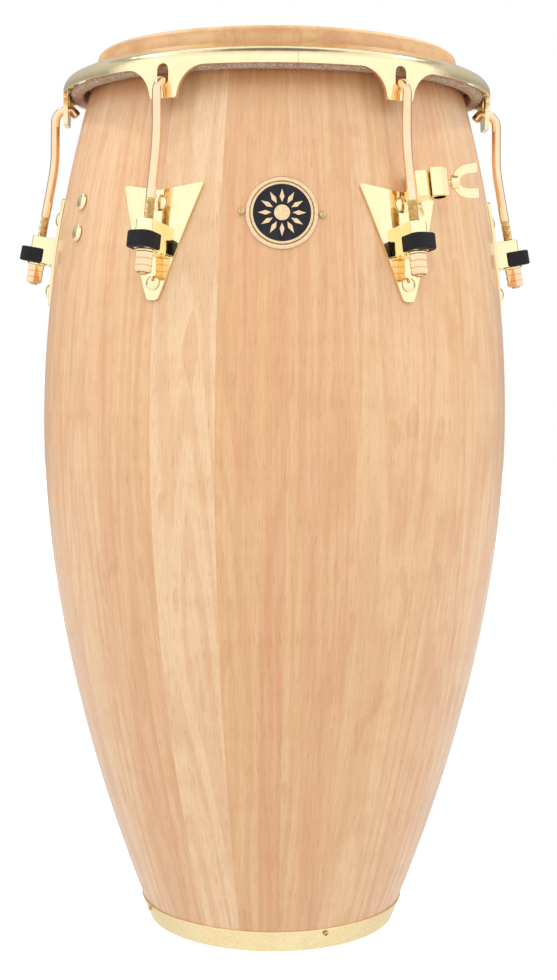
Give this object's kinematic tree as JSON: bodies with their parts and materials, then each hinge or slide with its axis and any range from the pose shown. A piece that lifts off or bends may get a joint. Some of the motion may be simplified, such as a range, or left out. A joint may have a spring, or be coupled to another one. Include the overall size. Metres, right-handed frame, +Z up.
{
  "type": "conga drum",
  "caption": "Large stave conga drum with a skin head, slotted rim, hooked tuning lugs on side plates, an accessory clamp and an open banded foot.",
  "frame": {"origin": "middle of the foot, on the floor", "axes": "+Z up the drum, -Y towards the badge, +X to the right of it"},
  "size_m": [0.4584, 0.4106, 0.762],
  "materials": {
    "lacquered_wood": "satin lacquer",
    "skin": "smooth hide",
    "rawhide": "rough hide",
    "gold_plate": "mirror polish",
    "band_brass": "speckled satin",
    "black_rubber": "matte",
    "badge_enamel": "gloss enamel and gold rings"
  },
  "bodies": {
    "drum": {"shell": "lacquered_wood", "drum_head": "skin", "badge": "badge_enamel", "badge_nail_left": "gold_plate", "badge_nail_right": "gold_plate", "bottom_band": "band_brass", "upper_side_bolt": "gold_plate", "lower_side_bolt": "gold_plate", "clamp_base": "gold_plate", "clamp_block": "gold_plate", "side_plate_1": "gold_plate", "washer_1": "gold_plate", "upper_plate_bolt_1": "gold_plate", "lower_plate_bolt_1": "gold_plate", "shell_protector_1": "black_rubber", "side_plate_2": "gold_plate", "washer_2": "gold_plate", "upper_plate_bolt_2": "gold_plate", "lower_plate_bolt_2": "gold_plate", "shell_protector_2": "black_rubber", "side_plate_3": "gold_plate", "washer_3": "gold_plate", "upper_plate_bolt_3": "gold_plate", "lower_plate_bolt_3": "gold_plate", "shell_protector_3": "black_rubber", "side_plate_4": "gold_plate", "washer_4": "gold_plate", "upper_plate_bolt_4": "gold_plate", "lower_plate_bolt_4": "gold_plate", "shell_protector_4": "black_rubber", "side_plate_5": "gold_plate", "washer_5": "gold_plate", "upper_plate_bolt_5": "gold_plate", "lower_plate_bolt_5": "gold_plate", "shell_protector_5": "black_rubber", "side_plate_6": "gold_plate", "washer_6": "gold_plate", "upper_plate_bolt_6": "gold_plate", "lower_plate_bolt_6": "gold_plate", "shell_protector_6": "black_rubber", "band_screw_1": "gold_plate", "band_screw_2": "gold_plate", "band_screw_3": "gold_plate", "band_screw_4": "gold_plate"},
    "rim": {"rim": "gold_plate", "flesh_hoop": "rawhide"},
    "lug_rod_1": {"lug_rod_1": "gold_plate"},
    "tuning_nut_1": {"tuning_nut_1": "gold_plate"},
    "lug_rod_2": {"lug_rod_2": "gold_plate"},
    "tuning_nut_2": {"tuning_nut_2": "gold_plate"},
    "lug_rod_3": {"lug_rod_3": "gold_plate"},
    "tuning_nut_3": {"tuning_nut_3": "gold_plate"},
    "lug_rod_4": {"lug_rod_4": "gold_plate"},
    "tuning_nut_4": {"tuning_nut_4": "gold_plate"},
    "lug_rod_5": {"lug_rod_5": "gold_plate"},
    "tuning_nut_5": {"tuning_nut_5": "gold_plate"},
    "lug_rod_6": {"lug_rod_6": "gold_plate"},
    "tuning_nut_6": {"tuning_nut_6": "gold_plate"},
    "clamp_stud": {"clamp_stud": "gold_plate"},
    "clamp_wing": {"clamp_wing": "gold_plate"}
  },
  "joints": [
    {"name": "rim_travel", "type": "slide", "parent": "drum", "child": "rim", "axis": [0, 0, -1], "range_m": [0, 0.006]},
    {"name": "rod_1_travel", "type": "slide", "parent": "drum", "child": "lug_rod_1", "axis": [0.0868, -0.1504, -0.9848], "range_m": [0, 0.0062]},
    {"name": "nut_1_turn", "type": "hinge", "parent": "drum", "child": "tuning_nut_1", "pos_m": [0.10695, -0.18524, 0.5785], "axis": [-0.0868, 0.1504, 0.9848], "range_deg": [0, 1560]},
    {"name": "rod_2_travel", "type": "slide", "parent": "drum", "child": "lug_rod_2", "axis": [0.1736, 0, -0.9848], "range_m": [0, 0.0062]},
    {"name": "nut_2_turn", "type": "hinge", "parent": "drum", "child": "tuning_nut_2", "pos_m": [0.2139, 0, 0.5785], "axis": [-0.1736, 0, 0.9848], "range_deg": [0, 1560]},
    {"name": "rod_3_travel", "type": "slide", "parent": "drum", "child": "lug_rod_3", "axis": [0.0868, 0.1504, -0.9848], "range_m": [0, 0.0062]},
    {"name": "nut_3_turn", "type": "hinge", "parent": "drum", "child": "tuning_nut_3", "pos_m": [0.10695, 0.18524, 0.5785], "axis": [-0.0868, -0.1504, 0.9848], "range_deg": [0, 1560]},
    {"name": "rod_4_travel", "type": "slide", "parent": "drum", "child": "lug_rod_4", "axis": [-0.0868, 0.1504, -0.9848], "range_m": [0, 0.0062]},
    {"name": "nut_4_turn", "type": "hinge", "parent": "drum", "child": "tuning_nut_4", "pos_m": [-0.10695, 0.18524, 0.5785], "axis": [0.0868, -0.1504, 0.9848], "range_deg": [0, 1560]},
    {"name": "rod_5_travel", "type": "slide", "parent": "drum", "child": "lug_rod_5", "axis": [-0.1736, 0, -0.9848], "range_m": [0, 0.0062]},
    {"name": "nut_5_turn", "type": "hinge", "parent": "drum", "child": "tuning_nut_5", "pos_m": [-0.2139, 0, 0.5785], "axis": [0.1736, 0, 0.9848], "range_deg": [0, 1560]},
    {"name": "rod_6_travel", "type": "slide", "parent": "drum", "child": "lug_rod_6", "axis": [-0.0868, -0.1504, -0.9848], "range_m": [0, 0.0062]},
    {"name": "nut_6_turn", "type": "hinge", "parent": "drum", "child": "tuning_nut_6", "pos_m": [-0.10695, -0.18524, 0.5785], "axis": [0.0868, 0.1504, 0.9848], "range_deg": [0, 1560]},
    {"name": "clamp_stud_travel", "type": "slide", "parent": "drum", "child": "clamp_stud", "axis": [-0.995, -0.0348, -0.0935], "range_m": [0, 0.0025]},
    {"name": "clamp_wing_turn", "type": "hinge", "parent": "clamp_stud", "child": "clamp_wing", "pos_m": [0.13542, -0.16628, 0.63548], "axis": [-0.995, -0.0348, -0.0935], "range_deg": [0, 700]}
  ],
  "couplings": [
    {"joint": "rod_1_travel", "follows": "rim_travel", "ratio": 1.0154},
    {"joint": "nut_1_turn", "follows": "rim_travel", "rad_per_m": 4521.3},
    {"joint": "rod_2_travel", "follows": "rim_travel", "ratio": 1.0154},
    {"joint": "nut_2_turn", "follows": "rim_travel", "rad_per_m": 4521.3},
    {"joint": "rod_3_travel", "follows": "rim_travel", "ratio": 1.0154},
    {"joint": "nut_3_turn", "follows": "rim_travel", "rad_per_m": 4521.3},
    {"joint": "rod_4_travel", "follows": "rim_travel", "ratio": 1.0154},
    {"joint": "nut_4_turn", "follows": "rim_travel", "rad_per_m": 4521.3},
    {"joint": "rod_5_travel", "follows": "rim_travel", "ratio": 1.0154},
    {"joint": "nut_5_turn", "follows": "rim_travel", "rad_per_m": 4521.3},
    {"joint": "rod_6_travel", "follows": "rim_travel", "ratio": 1.0154},
    {"joint": "nut_6_turn", "follows": "rim_travel", "rad_per_m": 4521.3},
    {"joint": "clamp_stud_travel", "follows": "clamp_wing_turn", "m_per_rad": 0.00020213}
  ]
}
